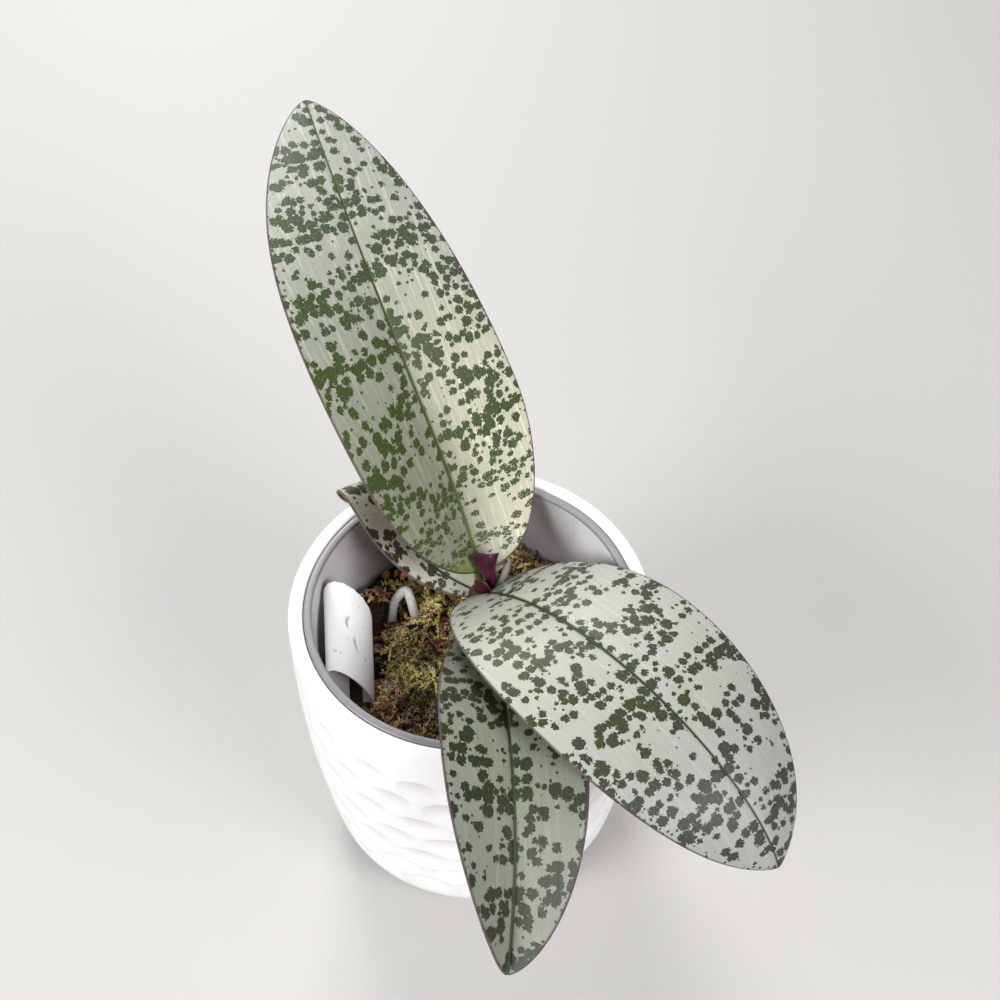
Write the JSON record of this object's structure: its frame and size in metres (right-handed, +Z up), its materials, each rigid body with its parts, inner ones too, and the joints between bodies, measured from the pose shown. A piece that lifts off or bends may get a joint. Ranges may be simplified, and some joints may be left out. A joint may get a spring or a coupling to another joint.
{
  "type": "potted moth orchid",
  "caption": "Young moth orchid with mottled silver-green leaves, potted in bark and moss in a grey liner inside a dimpled white ceramic pot.",
  "frame": {"origin": "centre of the outer pot's flat base", "axes": "+Z up along the pot's axis; the side with the front leaf faces -Y and the upper leaf rises towards +Y and -X"},
  "size_m": [0.1735, 0.28, 0.2423],
  "materials": {
    "glaze": "satin",
    "liner": "satin",
    "mix": "rough",
    "moss_olive": "rough",
    "moss_straw": "rough",
    "stem": "satin",
    "root": "matte",
    "label": "satin",
    "young_leaf": "gloss",
    "sheath": "satin",
    "leaf": "satin"
  },
  "bodies": {
    "root": {"outer_pot": "glaze", "liner_pot": "liner", "growing_mix": "mix", "moss_left": "moss_olive", "moss_front": "moss_olive", "moss_right": "moss_straw", "moss_back": "moss_straw", "stem": "stem", "root_loop": "root", "root_left": "root", "root_front": "root", "root_right": "root", "plant_label": "label", "young_leaf": "young_leaf", "crown_sheath": "sheath", "side_bract": "sheath", "upper_leaf": "leaf", "right_leaf": "leaf", "front_leaf": "leaf", "back_leaf": "leaf"}
  },
  "joints": []
}
